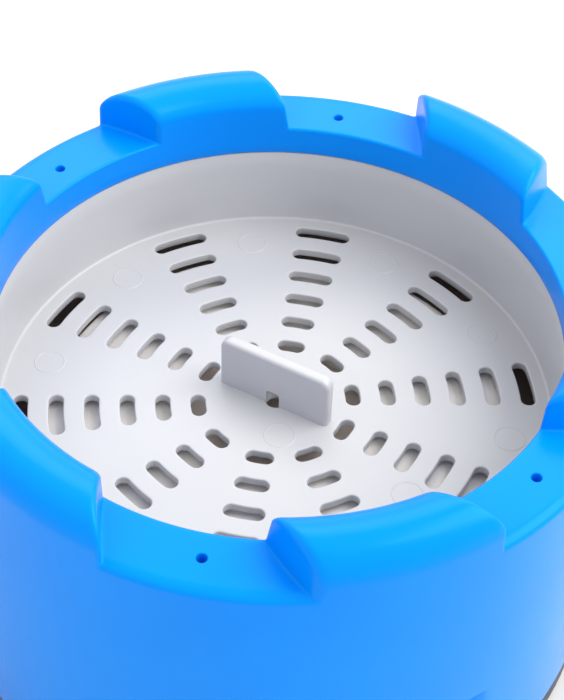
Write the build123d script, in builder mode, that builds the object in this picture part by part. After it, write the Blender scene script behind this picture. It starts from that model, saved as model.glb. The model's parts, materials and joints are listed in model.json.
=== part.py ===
"""Small tabletop pottery wheel: a battlemented blue housing round a spinning slotted dish.

Millimetres. +Z is up and is the wheel's axis; the origin is under that axis at the level the feet stand on.
The control panel faces -Y.
"""

import math
import os

from build123d import *

# ---------------------------------------------------------------- driving dimensions
slot_pitch = 11.54  # distance from one ring of slots to the next
columns = 10  # spokes of slots round the dish
rings = 6  # slots in each spoke

dish_floor_z = 88.0  # top of the slotted floor
dish_floor_t = 3.0
dish_wall_t = 2.4
slot_width = 5.2
first_slot_length = 9.5
slot_length_step = 2.04
tab_length = 39.9  # clay key across the middle of the dish
tab_height = 19.5
tab_thickness = 4.4
tab_angle = -36.0
tab_corner_fillet = 3.0
drain_hole_r = 3.25
drain_notch_height = 5.4  # how far the drain hole runs up into the key

rim_inner_r = 90.0  # bore of the housing's top ring
rim_outer_r = 111.0
wall_t = 2.6
skirt_t = 2.4
skirt_edge_z = dish_floor_z + 30.6
notch_z = dish_floor_z + 41.0  # rim floor between two merlons
merlon_top_z = dish_floor_z + 55.6
merlon_count = 6
merlon_inner_span = (21.2, 50.7)  # degrees at the bore
merlon_outer_span = (28.7, 58.2)  # degrees at the outside, skewed from the bore's
peg_hole_r = 1.6
peg_circle_r = 99.1
peg_angle = 11.5
peg_depth = 12.0
peg_boss_t = 1.4
notch_edge_fillet = 2.2
merlon_fillet = 4.0

foot_height = 4.0
foot_r = 10.0
foot_circle_r = 88.0
tray_floor_t = 3.0
tray_rim_z = 12.0  # where the housing stands on the tray
tray_rim_t = 5.4

niche_y = -97.0  # flat back of the control niche
niche_low_z = 17.0
niche_high_z = 57.0
panel_width = 84.0
panel_height = 36.0
panel_t = 1.5
control_z = 37.0
knob_x = 22.0
knob_r = 14.0
switch_x = -24.0
led_x = -1.0
led_z = 45.0
shaft_hole_r = 3.7
switch_hole = (13.4, 19.4)
led_hole_r = 2.1
inlet_y = 108.0  # flat pad at the back for the power inlet
inlet_z = 38.0
inlet_barrel_r = 5.5
screw_boss_r = 4.5

spindle_r = 4.0
bearing_outer_r = 11.0
bearing_width = 7.0
ball_circle_r = 7.5
ball_r = 1.95
ball_count = 7
outer_race_r = 9.0  # bore of the outer race
inner_race_r = 6.0  # outside of the inner race
lower_bearing_z = 12.0
upper_bearing_z = 38.0
tower_top_z = 46.0

belt_width = 5.2
belt_t = 2.2
belt_gap = 0.12  # between belt and groove
pulley_low_z = 48.0
pulley_high_z = 58.0
wheel_groove_r = 39.5
motor_groove_r = 6.5
groove_depth = 2.5
motor_y = 68.0
motor_r = 18.0
motor_low_z = 14.0
motor_high_z = 44.0
motor_shaft_r = 1.6
motor_wall_t = 1.5
magnet_inner_r = 13.0
magnet_span_z = (21.0, 39.0)
armature_r = 12.0
armature_span_z = (22.0, 38.0)
motor_screw_x = 11.0
bracket_half = 24.0  # half the width inside the bracket
bracket_t = 1.5

pan_floor_z = 61.0
pan_floor_t = 2.5
pan_inner_r = 98.0
pan_wall_t = 2.5
pan_top_z = 112.0
collar_r = 13.0
collar_top_z = 72.0

platter_r = 75.6
platter_bore_r = 31.0
platter_top_z = dish_floor_z - 5.8
platter_t = 3.5
hub_flange_r = 38.0
hub_flange_t = 4.0

# ---------------------------------------------------------------- worked-out dimensions
tray_floor_z = foot_height + tray_floor_t
dish_under_z = dish_floor_z - dish_floor_t
dish_inner_r = rim_inner_r + 0.3
dish_shoulder_z = skirt_edge_z - 0.35
platter_low_z = platter_top_z - platter_t
hub_low_z = platter_low_z - hub_flange_t
slot_radii = [(2.2 + ring) * slot_pitch for ring in range(rings)]
belt_mid_z = (pulley_low_z + pulley_high_z) / 2
boss_circle_r = 54.2  # between two rings of slots
bearing_ring_r = (slot_radii[3] + slot_radii[4]) / 2
boss_angles = [18 + 72 * i for i in range(5)]
hub_screw_r = 34.5
hub_screw_angles = [45 + 90 * i for i in range(4)]
base_screw_r = 104.4
base_screw_angles = [10, 62, 118, 170, 232, 308]  # none behind the control niche
tower_screw_angles = [45 + 90 * i for i in range(4)]
post_circle_r = 84.0
post_angles = [30, 150, 270]
foot_angles = [45 + 90 * i for i in range(4)]
board_x, board_y, board_z = -50.0, -38.0, 13.0
board_length, board_depth, board_t = 50.0, 38.0, 1.6

os.makedirs("parts", exist_ok=True)


def polar(radius, degrees):
    """A point on a circle round the wheel's axis."""
    return (radius * math.cos(math.radians(degrees)), radius * math.sin(math.radians(degrees)))


def upright(degrees):
    """The vertical plane through the wheel's axis at that heading: local x outwards, local y up."""
    x, y = polar(1, degrees)
    return Plane(origin=(0, 0, 0), x_dir=(x, y, 0), z_dir=(y, -x, 0))


def discs(z, height, radius, places, mode=Mode.ADD):
    """Upright discs on the current part, from z to z + height, at the (x, y) places."""
    with BuildSketch(Plane.XY.offset(z)) as plan:
        with Locations(*places):
            Circle(radius)
    extrude(plan.sketch, amount=height, mode=mode)


def turned(points, mode=Mode.ADD):
    """Revolve a closed outline of (radius, z) points about the wheel's axis."""
    with BuildSketch(Plane.XZ) as section:
        with BuildLine():
            Polyline(*points, close=True)
        make_face()
    revolve(section.sketch, axis=Axis.Z, mode=mode)


def flat_segment(z, height, y, mode=Mode.ADD, inside=True):
    """The part of the housing's round plan beyond the line at y, or all the space beyond it."""
    side = math.copysign(1, y)
    with BuildSketch(Plane.XY.offset(z)) as plan:
        if inside:
            Circle(rim_outer_r)
            with Locations((0, y - side * rim_outer_r * 1.5)):
                Rectangle(3 * rim_outer_r, 3 * rim_outer_r, mode=Mode.SUBTRACT)
        else:
            with Locations((0, y + side * rim_outer_r * 1.5)):
                Rectangle(3 * rim_outer_r, 3 * rim_outer_r)
    extrude(plan.sketch, amount=height, mode=mode)


def merlon_outline(turn, shrink=0.0):
    """Plan of one merlon in the current sketch: two arcs joined by two slanted ends."""
    inner = rim_inner_r + shrink
    outer = rim_outer_r - shrink
    trim = math.degrees(1.2 * shrink / rim_inner_r)
    i0, i1 = turn + merlon_inner_span[0] + trim, turn + merlon_inner_span[1] - trim
    o0, o1 = turn + merlon_outer_span[0] + trim, turn + merlon_outer_span[1] - trim
    with BuildLine() as outline:
        CenterArc((0, 0), outer, o0, o1 - o0)
        Line(polar(outer, o1), polar(inner, i1))
        CenterArc((0, 0), inner, i0, i1 - i0)
        Line(polar(inner, i0), polar(outer, o0))
    make_face(outline.edges())


def save(part, name):
    """Label a finished piece and write it to its own STEP file."""
    part.label = name
    export_step(part, f"parts/{name}.step")


def screws(name, places, seat_z, head_r, head_h, shank_r, shank_length, up=True):
    """A group of pan-head screws; each shank runs up (or down) from its head's seat at seat_z."""
    side = 1 if up else -1
    with BuildPart() as group:
        discs(seat_z, -side * head_h, head_r, places)
        discs(seat_z, side * shank_length, shank_r, places)
        with BuildSketch(Plane.XY.offset(seat_z - side * head_h)):
            with Locations(*places):
                Rectangle(head_r * 1.2, 0.8)
                Rectangle(0.8, head_r * 1.2)
        extrude(amount=side * head_h * 0.5, mode=Mode.SUBTRACT)
    save(group.part, name)


# ---------------------------------------------------------------- housing
with BuildPart() as housing_shell:
    turned(
        [
            (rim_outer_r, tray_rim_z),
            (rim_outer_r, notch_z),
            (rim_inner_r, notch_z),
            (rim_inner_r, skirt_edge_z),
            (rim_inner_r + skirt_t, skirt_edge_z),
            (rim_inner_r + skirt_t, notch_z - wall_t),
            (rim_outer_r - wall_t, notch_z - wall_t),
            (rim_outer_r - wall_t, tray_rim_z),
        ]
    )
    top_circles = housing_shell.edges().filter_by(GeomType.CIRCLE).group_by(Axis.Z)[-1]
    fillet(top_circles.sort_by(SortBy.RADIUS)[-1], notch_edge_fillet)
    with BuildSketch(Plane.XY.offset(notch_z - wall_t)):
        for i in range(merlon_count):
            merlon_outline(60 * i)
    extrude(amount=merlon_top_z - notch_z + wall_t)
    fillet(housing_shell.edges().group_by(Axis.Z)[-1], merlon_fillet)
    with BuildSketch(Plane.XY.offset(notch_z - wall_t - 1)):
        for i in range(merlon_count):
            merlon_outline(60 * i, shrink=wall_t)
    extrude(amount=merlon_top_z - notch_z + 1, mode=Mode.SUBTRACT)
    # a boss and a blind hole for an accessory peg in each notch
    peg_places = [polar(peg_circle_r, peg_angle + 60 * i) for i in range(merlon_count)]
    discs(notch_z - peg_depth - wall_t, peg_depth + wall_t - 1, peg_hole_r + peg_boss_t, peg_places)
    discs(notch_z - peg_depth, peg_depth + 1, peg_hole_r, peg_places, Mode.SUBTRACT)
    # flat-backed niche for the controls, and a flat pad for the power inlet
    flat_segment(niche_low_z - wall_t, niche_high_z - niche_low_z + 2 * wall_t, niche_y + wall_t)
    flat_segment(niche_low_z, niche_high_z - niche_low_z, niche_y, Mode.SUBTRACT, inside=False)
    flat_segment(inlet_z - 14, 28, inlet_y - 4)
    flat_segment(inlet_z - 12, 24, inlet_y, Mode.SUBTRACT, inside=False)
    with BuildSketch(Plane.XZ.offset(-inlet_y - 1)):
        with Locations((0, inlet_z)):
            Circle(inlet_barrel_r + 0.1)
    extrude(amount=8, mode=Mode.SUBTRACT)
    with BuildSketch(Plane.XZ.offset(1 - niche_y)):
        with Locations((knob_x, control_z)):
            Circle(shaft_hole_r)
        with Locations((switch_x, control_z)):
            Rectangle(*switch_hole)
        with Locations((led_x, led_z)):
            Circle(led_hole_r)
    extrude(amount=-8, mode=Mode.SUBTRACT)
    # screw bosses down the inside of the wall
    screw_places = [polar(base_screw_r, angle) for angle in base_screw_angles]
    discs(tray_rim_z, 18, screw_boss_r, screw_places)
    discs(tray_rim_z, 15, 1.5, screw_places, Mode.SUBTRACT)
save(housing_shell.part, "housing_shell")

# ---------------------------------------------------------------- tray and feet
post_places = [polar(post_circle_r, angle) for angle in post_angles]
foot_places = [polar(foot_circle_r, angle) for angle in foot_angles]
board_holes = [
    (board_x + sx * (board_length / 2 - 3.5), board_y + sy * (board_depth / 2 - 3.5))
    for sx in (-1, 1)
    for sy in (-1, 1)
]
tower_places = [polar(22.5, angle) for angle in tower_screw_angles]
bracket_places = [(sx * (bracket_half + 5), motor_y + sy * 12) for sx in (-1, 1) for sy in (-1, 1)]

with BuildPart() as base_tray:
    discs(foot_height, tray_rim_z - foot_height, rim_outer_r, [(0, 0)])
    fillet(base_tray.edges().sort_by(Axis.Z)[0], 1.5)
    discs(tray_floor_z, tray_rim_z, rim_outer_r - tray_rim_t, [(0, 0)], Mode.SUBTRACT)
    discs(foot_height, tray_rim_z - foot_height, screw_boss_r, screw_places)
    discs(foot_height, pan_floor_z - foot_height, 5, post_places)
    discs(foot_height, board_z - foot_height, 3, board_holes)
    discs(pan_floor_z - 14, 20, 1.5, post_places, Mode.SUBTRACT)
    discs(board_z - 5, 10, 1.25, board_holes, Mode.SUBTRACT)
    discs(tray_floor_z - 2, 4, 1.4, tower_places + bracket_places, Mode.SUBTRACT)
    discs(foot_height - 1, 20, 1.6, screw_places, Mode.SUBTRACT)
    discs(foot_height - 1, 20, 3, foot_places, Mode.SUBTRACT)
    # cooling slots under the motor and the board
    with BuildSketch(Plane.XY.offset(foot_height - 1)):
        for radius in (60, 68, 76):
            for angle in (0, 90, 180, 240, 300):
                SlotArc(CenterArc((0, 0), radius, angle - 9, 18), 3)
    extrude(amount=tray_floor_t + 2, mode=Mode.SUBTRACT)
save(base_tray.part, "base_tray")

with BuildPart() as rubber_feet:
    discs(0, foot_height, foot_r, foot_places)
    fillet(rubber_feet.edges().group_by(Axis.Z)[0], 1.2)
    discs(foot_height, tray_floor_t, 2.9, foot_places)
    discs(tray_floor_z, 2, 4.2, foot_places)
save(rubber_feet.part, "rubber_feet")

screws("housing_screws", screw_places, foot_height, 3.0, 1.8, 1.5, 20)

# ---------------------------------------------------------------- bearing tower
with BuildPart() as bearing_tower:
    turned(
        [
            (bearing_outer_r, tray_floor_z),
            (28, tray_floor_z),
            (28, tray_floor_z + 3),
            (15, tray_floor_z + 3),
            (15, tower_top_z),
            (bearing_outer_r, tower_top_z),
            (bearing_outer_r, upper_bearing_z),
            (8, upper_bearing_z),
            (8, lower_bearing_z + bearing_width),
            (bearing_outer_r, lower_bearing_z + bearing_width),
        ]
    )
    for i in range(4):
        with BuildSketch(upright(90 * i)):
            with BuildLine():
                Polyline((14, 9), (26, 9), (26, 12), (14, 36), close=True)
            make_face()
        extrude(amount=1.5, both=True)
    discs(tray_floor_z - 1, 6, 1.7, tower_places, Mode.SUBTRACT)
save(bearing_tower.part, "bearing_tower")
screws("tower_screws", tower_places, tray_floor_z + 3, 2.8, 1.6, 1.4, 4.8, up=False)

# ---------------------------------------------------------------- bearings
with BuildPart() as bearing_outers:
    for low in (lower_bearing_z, upper_bearing_z):
        turned(
            [
                (outer_race_r, low),
                (bearing_outer_r, low),
                (bearing_outer_r, low + bearing_width),
                (outer_race_r, low + bearing_width),
            ]
        )
    for low in (lower_bearing_z, upper_bearing_z):
        with BuildSketch(Plane.XZ):
            with Locations((ball_circle_r, low + bearing_width / 2)):
                Circle(ball_r + 0.05)
        revolve(axis=Axis.Z, mode=Mode.SUBTRACT)
save(bearing_outers.part, "bearing_outers")

with BuildPart() as bearing_inners:
    for low in (lower_bearing_z, upper_bearing_z):
        turned(
            [
                (spindle_r, low),
                (inner_race_r, low),
                (inner_race_r, low + bearing_width),
                (spindle_r, low + bearing_width),
            ]
        )
    for low in (lower_bearing_z, upper_bearing_z):
        with BuildSketch(Plane.XZ):
            with Locations((ball_circle_r, low + bearing_width / 2)):
                Circle(ball_r + 0.05)
        revolve(axis=Axis.Z, mode=Mode.SUBTRACT)
save(bearing_inners.part, "bearing_inners")

with BuildPart() as bearing_balls:
    for low in (lower_bearing_z, upper_bearing_z):
        for i in range(ball_count):
            x, y = polar(ball_circle_r, 360 / ball_count * i)
            with Locations((x, y, low + bearing_width / 2)):
                Sphere(ball_r)
save(bearing_balls.part, "bearing_balls")

# ---------------------------------------------------------------- spindle, hub, platter
spindle_low_z = 10.5
spindle_high_z = hub_low_z + 3
with BuildPart() as spindle:
    discs(spindle_low_z, spindle_high_z - spindle_low_z, spindle_r, [(0, 0)])
    chamfer(spindle.edges().group_by(Axis.Z)[0], 0.6)
    turned([(3.4, 11.3), (5, 11.3), (5, 12), (3.4, 12)], Mode.SUBTRACT)
save(spindle.part, "spindle")

with BuildPart() as spindle_clip:
    discs(11.3, 0.7, 5.6, [(0, 0)])
    discs(11, 2, 3.4, [(0, 0)], Mode.SUBTRACT)
    with BuildSketch(Plane.XY.offset(11)):
        with Locations((4, 0)):
            Rectangle(8, 4)
    extrude(amount=2, mode=Mode.SUBTRACT)
save(spindle_clip.part, "spindle_clip")

hub_places = [polar(hub_screw_r, angle) for angle in hub_screw_angles]
with BuildPart() as platter_hub:
    turned(
        [
            (0, spindle_high_z),
            (spindle_r, spindle_high_z),
            (spindle_r, 60.5),
            (9.5, 60.5),
            (10.5, hub_low_z),
            (hub_flange_r, hub_low_z),
            (hub_flange_r, platter_low_z),
            (0, platter_low_z),
        ]
    )
    discs(hub_low_z - 1, 10, 1.7, hub_places, Mode.SUBTRACT)
save(platter_hub.part, "platter_hub")

dish_screw_places = [polar(boss_circle_r, angle) for angle in boss_angles]
with BuildPart() as drive_platter:
    turned(
        [
            (platter_bore_r, platter_low_z),
            (platter_bore_r, platter_top_z),
            (platter_r, platter_top_z),
            (platter_r, platter_low_z - 5),
            (platter_r - 2.5, platter_low_z - 5),
            (platter_r - 2.5, platter_low_z),
        ]
    )
    fillet(drive_platter.edges().group_by(Axis.Z)[-1].sort_by(SortBy.RADIUS)[-1], 1.0)
    for i in range(10):
        with BuildSketch(upright(36 * i)):
            with BuildLine():
                Polyline(
                    (hub_flange_r + 1, platter_low_z + 1),
                    (platter_r - 1, platter_low_z + 1),
                    (platter_r - 1, platter_low_z - 4),
                    (hub_flange_r + 1, platter_low_z - 4),
                    close=True,
                )
            make_face()
        extrude(amount=1.0, both=True)
    discs(platter_low_z - 1, 10, 1.6, dish_screw_places, Mode.SUBTRACT)
    discs(platter_low_z - 1, 3.5, 1.4, hub_places, Mode.SUBTRACT)
save(drive_platter.part, "drive_platter")
screws("hub_screws", hub_places, hub_low_z, 2.8, 1.6, 1.4, 6.4)

# ---------------------------------------------------------------- slotted dish
with BuildPart() as slotted_dish:
    turned(
        [
            (0, dish_floor_z),
            (dish_inner_r, dish_floor_z),
            (dish_inner_r, dish_shoulder_z),
            (dish_inner_r + 2.8, dish_shoulder_z),
            (dish_inner_r + 2.8, dish_shoulder_z + 3.2),
            (dish_inner_r + 5.1, dish_shoulder_z + 3.2),
            (dish_inner_r + 5.1, dish_shoulder_z - 2.4),
            (dish_inner_r + dish_wall_t, dish_shoulder_z - 2.4),
            (dish_inner_r + dish_wall_t, dish_under_z),
            (bearing_ring_r + 1, dish_under_z),
            (bearing_ring_r + 1, platter_top_z),
            (bearing_ring_r - 1, platter_top_z),
            (bearing_ring_r - 1, dish_under_z),
            (0, dish_under_z),
        ]
    )
    # screw bosses that stand on the platter with the bearing ring
    discs(platter_top_z, dish_under_z - platter_top_z + 0.5, 3.0, dish_screw_places)
    discs(platter_top_z - 1, 4.2, 1.25, dish_screw_places, Mode.SUBTRACT)
    circles = slotted_dish.edges().filter_by(GeomType.CIRCLE)
    corner = circles.filter_by(lambda e: abs(e.radius - dish_inner_r) < 0.01).sort_by(Axis.Z)[0]
    fillet(corner, 1.2)
    # clay key, with the drain hole running up into its foot
    with BuildSketch(upright(tab_angle)):
        with Locations((0, dish_floor_z + tab_height / 2 - 1)):
            Rectangle(tab_length, tab_height + 2)
    extrude(amount=tab_thickness / 2, both=True)
    ends = slotted_dish.edges().filter_by(
        lambda e: abs(e.center().Z - dish_floor_z - tab_height) < 0.01 and e.length < tab_thickness + 0.1
    )
    fillet(ends, tab_corner_fillet)
    discs(dish_under_z - 1, dish_floor_t + 1 + drain_notch_height, drain_hole_r, [(0, 0)], Mode.SUBTRACT)
    # spokes of slots that grow longer ring by ring
    with BuildSketch(Plane.XY.offset(dish_under_z - 1)):
        for ring, radius in enumerate(slot_radii):
            straight = first_slot_length + slot_length_step * ring - slot_width
            spread = math.degrees(straight / radius)
            for column in range(columns):
                middle = 360 / columns * column
                SlotArc(CenterArc((0, 0), radius, middle - spread / 2, spread), slot_width)
    extrude(amount=dish_floor_t + 2, mode=Mode.SUBTRACT)
save(slotted_dish.part, "slotted_dish")
screws("dish_screws", dish_screw_places, platter_low_z, 2.8, 1.6, 1.25, 6.4)

# ---------------------------------------------------------------- catch pan
with BuildPart() as catch_pan:
    turned(
        [
            (collar_r, pan_floor_z),
            (pan_inner_r + pan_wall_t, pan_floor_z),
            (pan_inner_r + pan_wall_t, pan_top_z),
            (pan_inner_r, pan_top_z),
            (pan_inner_r, pan_floor_z + pan_floor_t),
            (collar_r + 2.2, pan_floor_z + pan_floor_t),
            (collar_r + 2.2, collar_top_z),
            (collar_r, collar_top_z),
        ]
    )
    discs(pan_floor_z - 1, 10, 1.7, post_places, Mode.SUBTRACT)
save(catch_pan.part, "catch_pan")
screws("pan_screws", post_places, pan_floor_z + pan_floor_t, 3.2, 1.8, 1.5, 12, up=False)

# ---------------------------------------------------------------- pulleys and belt
with BuildPart() as wheel_pulley:
    rim_r = wheel_groove_r + groove_depth
    turned(
        [
            (spindle_r, pulley_low_z),
            (9, pulley_low_z),
            (9, belt_mid_z - 1.5),
            (wheel_groove_r - 4, belt_mid_z - 1.5),
            (wheel_groove_r - 4, pulley_low_z),
            (rim_r, pulley_low_z),
            (rim_r, belt_mid_z - 3),
            (wheel_groove_r, belt_mid_z - 3),
            (wheel_groove_r, belt_mid_z + 3),
            (rim_r, belt_mid_z + 3),
            (rim_r, pulley_high_z),
            (wheel_groove_r - 4, pulley_high_z),
            (wheel_groove_r - 4, belt_mid_z + 1.5),
            (9, belt_mid_z + 1.5),
            (9, pulley_high_z),
            (spindle_r, pulley_high_z),
        ]
    )
    web_places = [polar(22.5, 60 * i) for i in range(6)]
    discs(pulley_low_z, 12, 7, web_places, Mode.SUBTRACT)
save(wheel_pulley.part, "wheel_pulley")

with BuildPart() as motor_pulley:
    with BuildSketch(Plane.YZ):
        with BuildLine():
            small_rim_r = motor_groove_r + groove_depth
            Polyline(
                (motor_y + motor_shaft_r, pulley_low_z),
                (motor_y + small_rim_r, pulley_low_z),
                (motor_y + small_rim_r, belt_mid_z - 3),
                (motor_y + motor_groove_r, belt_mid_z - 3),
                (motor_y + motor_groove_r, belt_mid_z + 3),
                (motor_y + small_rim_r, belt_mid_z + 3),
                (motor_y + small_rim_r, pulley_high_z),
                (motor_y + motor_shaft_r, pulley_high_z),
                close=True,
            )
        make_face()
    revolve(axis=Axis((0, motor_y, 0), (0, 0, 1)))
save(motor_pulley.part, "motor_pulley")

with BuildPart() as drive_belt:
    for extra, mode in ((belt_gap + belt_t, Mode.ADD), (belt_gap, Mode.SUBTRACT)):
        with BuildSketch(Plane.XY.offset(belt_mid_z - belt_width / 2)):
            Circle(wheel_groove_r + extra)
            with Locations((0, motor_y)):
                Circle(motor_groove_r + extra)
            make_hull()
        extrude(amount=belt_width, mode=mode)
save(drive_belt.part, "drive_belt")

# ---------------------------------------------------------------- motor
motor_axis = Axis((0, motor_y, 0), (0, 0, 1))
motor_screw_places = [(-motor_screw_x, motor_y), (motor_screw_x, motor_y)]


def motor_turned(points, mode=Mode.ADD):
    """Revolve a closed outline of (radius from the motor's axis, z) points."""
    with BuildSketch(Plane.YZ) as section:
        with BuildLine():
            Polyline(*[(motor_y + radius, z) for radius, z in points], close=True)
        make_face()
    revolve(section.sketch, axis=motor_axis, mode=mode)


with BuildPart() as motor_can:
    motor_turned(
        [
            (motor_r - motor_wall_t, motor_low_z),
            (motor_r, motor_low_z),
            (motor_r, motor_high_z),
            (6, motor_high_z),
            (6, motor_high_z + 3),
            (motor_shaft_r + 0.05, motor_high_z + 3),
            (motor_shaft_r + 0.05, motor_high_z - motor_wall_t),
            (motor_r - motor_wall_t, motor_high_z - motor_wall_t),
        ]
    )
    discs(motor_high_z - 3, 4, 1.25, motor_screw_places, Mode.SUBTRACT)
save(motor_can.part, "motor_can")

with BuildPart() as motor_end_cap:
    motor_turned(
        [
            (0, motor_low_z - 1),
            (motor_r - motor_wall_t, motor_low_z - 1),
            (motor_r - motor_wall_t, motor_low_z + 3),
            (motor_shaft_r + 0.05, motor_low_z + 3),
            (motor_shaft_r + 0.05, motor_low_z),
            (0, motor_low_z),
        ]
    )
save(motor_end_cap.part, "motor_end_cap")

with BuildPart() as motor_magnets:
    motor_turned(
        [
            (magnet_inner_r, magnet_span_z[0]),
            (motor_r - motor_wall_t, magnet_span_z[0]),
            (motor_r - motor_wall_t, magnet_span_z[1]),
            (magnet_inner_r, magnet_span_z[1]),
        ]
    )
    with BuildSketch(Plane.XY.offset(20)):
        with Locations((0, motor_y)):
            Rectangle(10, 2 * motor_r)
    extrude(amount=20, mode=Mode.SUBTRACT)
save(motor_magnets.part, "motor_magnets")

with BuildPart() as motor_armature:
    motor_turned(
        [
            (motor_shaft_r, armature_span_z[0]),
            (armature_r, armature_span_z[0]),
            (armature_r, armature_span_z[1]),
            (motor_shaft_r, armature_span_z[1]),
        ]
    )
    for i in range(5):
        x, y = polar(armature_r, 72 * i)
        with BuildSketch(Plane.XY.offset(armature_span_z[0] - 1)):
            with Locations(Location((x, y + motor_y), 72 * i)):
                Rectangle(10, 2)
        extrude(amount=18, mode=Mode.SUBTRACT)
save(motor_armature.part, "motor_armature")

with BuildPart() as motor_shaft:
    discs(motor_low_z + 0.3, pulley_high_z + 0.6 - motor_low_z - 0.3, motor_shaft_r, [(0, motor_y)])
    chamfer(motor_shaft.edges().group_by(Axis.Z)[-1], 0.3)
save(motor_shaft.part, "motor_shaft")

with BuildPart() as motor_bracket:
    with BuildSketch(Plane.XZ.offset(-motor_y)):
        with BuildLine():
            Polyline(
                (-bracket_half - 10, tray_floor_z),
                (-bracket_half, tray_floor_z),
                (-bracket_half, motor_high_z),
                (bracket_half, motor_high_z),
                (bracket_half, tray_floor_z),
                (bracket_half + 10, tray_floor_z),
                (bracket_half + 10, tray_floor_z + bracket_t),
                (bracket_half + bracket_t, tray_floor_z + bracket_t),
                (bracket_half + bracket_t, motor_high_z + bracket_t),
                (-bracket_half - bracket_t, motor_high_z + bracket_t),
                (-bracket_half - bracket_t, tray_floor_z + bracket_t),
                (-bracket_half - 10, tray_floor_z + bracket_t),
                close=True,
            )
        make_face()
    extrude(amount=18, both=True)
    discs(motor_high_z - 1, 4, 6.1, [(0, motor_y)], Mode.SUBTRACT)
    discs(motor_high_z - 1, 4, 1.6, motor_screw_places, Mode.SUBTRACT)
    discs(tray_floor_z - 1, 4, 1.7, bracket_places, Mode.SUBTRACT)
save(motor_bracket.part, "motor_bracket")
screws("motor_screws", motor_screw_places, motor_high_z + bracket_t, 2.4, 1.4, 1.25, 4, up=False)
screws("bracket_screws", bracket_places, tray_floor_z + bracket_t, 2.8, 1.6, 1.4, 3.5, up=False)

# ---------------------------------------------------------------- electronics
with BuildPart() as control_board:
    with BuildSketch(Plane.XY.offset(board_z)):
        with Locations((board_x, board_y)):
            RectangleRounded(board_length, board_depth, 2)
        with Locations(*board_holes):
            Circle(1.6, mode=Mode.SUBTRACT)
    extrude(amount=board_t)
save(control_board.part, "control_board")
screws("board_screws", board_holes, board_z + board_t, 2.5, 1.4, 1.25, 6, up=False)

with BuildPart() as board_components:
    top_z = board_z + board_t
    discs(top_z, 14, 5, [(board_x + 8, board_y + 6)])
    with BuildSketch(Plane.XY.offset(top_z)):
        with Locations((board_x - 8, board_y + 10)):
            Rectangle(16, 8)
        with Locations((board_x - 10, board_y - 8)):
            Rectangle(10, 10)
        with Locations((board_x + 12, board_y - 10)):
            Rectangle(14, 7)
    extrude(amount=7)
save(board_components.part, "board_components")

with BuildPart() as control_panel:
    with BuildSketch(Plane.XZ.offset(-niche_y)):
        with Locations((led_x, control_z)):
            RectangleRounded(panel_width, panel_height, 6)
        with Locations((knob_x, control_z)):
            Circle(shaft_hole_r, mode=Mode.SUBTRACT)
        with Locations((switch_x, control_z)):
            Rectangle(*switch_hole, mode=Mode.SUBTRACT)
        with Locations((led_x, led_z)):
            Circle(led_hole_r, mode=Mode.SUBTRACT)
    extrude(amount=panel_t)
    fillet(control_panel.faces().sort_by(Axis.Y)[0].outer_wire().edges(), 0.8)
save(control_panel.part, "control_panel")

panel_y = niche_y - panel_t
with BuildPart() as speed_sensor:
    with BuildSketch(Plane.XZ.offset(-niche_y - wall_t)):
        with Locations((knob_x, control_z)):
            Circle(8.5)
    extrude(amount=-9)
    with BuildSketch(Plane.XZ.offset(-niche_y - wall_t)):
        with Locations((knob_x, control_z)):
            Circle(3.5)
    extrude(amount=wall_t + panel_t + 3)
    with BuildSketch(Plane.XZ.offset(-panel_y + 10)):
        with Locations((knob_x, control_z)):
            Circle(3.05)
    extrude(amount=-21, mode=Mode.SUBTRACT)
save(speed_sensor.part, "speed_sensor")

with BuildPart() as sensor_nut:
    with BuildSketch(Plane.XZ.offset(-panel_y)):
        with Locations((knob_x, control_z)):
            RegularPolygon(5.5, 6)
            Circle(3.5, mode=Mode.SUBTRACT)
    extrude(amount=2)
save(sensor_nut.part, "sensor_nut")

with BuildPart() as sensor_shaft:
    with BuildSketch(Plane.XZ.offset(-niche_y - wall_t - 6)):
        with Locations((knob_x, control_z)):
            Circle(3.0)
    extrude(amount=wall_t + panel_t + 14)
save(sensor_shaft.part, "sensor_shaft")

knob_back_y = panel_y - 0.6
knob_front_y = panel_y - 11
with BuildPart() as speed_knob:
    with BuildSketch(Plane.XZ.offset(-knob_back_y)):
        with Locations((knob_x, control_z)):
            Circle(knob_r)
    extrude(amount=knob_back_y - knob_front_y, taper=4)
    fillet(speed_knob.faces().sort_by(Axis.Y)[0].edges(), 1.2)
    with BuildSketch(Plane.XZ.offset(-knob_back_y - 1)):
        with Locations((knob_x, control_z)):
            Circle(7.5)
    extrude(amount=1 + 3.5, mode=Mode.SUBTRACT)
    with BuildSketch(Plane.XZ.offset(-knob_back_y - 1)):
        with Locations((knob_x, control_z)):
            Circle(3.0)
    extrude(amount=1 + 7.8, mode=Mode.SUBTRACT)
    # pointer groove across the front
    with BuildSketch(Plane.XZ.offset(-knob_front_y)):
        with Locations((knob_x, control_z + 7.5)):
            Rectangle(1.6, 8)
    extrude(amount=-0.8, mode=Mode.SUBTRACT)
save(speed_knob.part, "speed_knob")

with BuildPart() as switch_body:
    with BuildSketch(Plane.XZ.offset(-panel_y)):
        with Locations((switch_x, control_z)):
            RectangleRounded(16, 22, 1.5)
    extrude(amount=1.8)
    with BuildSketch(Plane.XZ.offset(-panel_y)):
        with Locations((switch_x, control_z)):
            Rectangle(13, 19)
    extrude(amount=-16)
    with BuildSketch(Plane.XZ.offset(-panel_y + 2)):
        with Locations((switch_x, control_z)):
            Rectangle(10.6, 16.6)
    extrude(amount=-9, mode=Mode.SUBTRACT)
save(switch_body.part, "switch_body")

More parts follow.
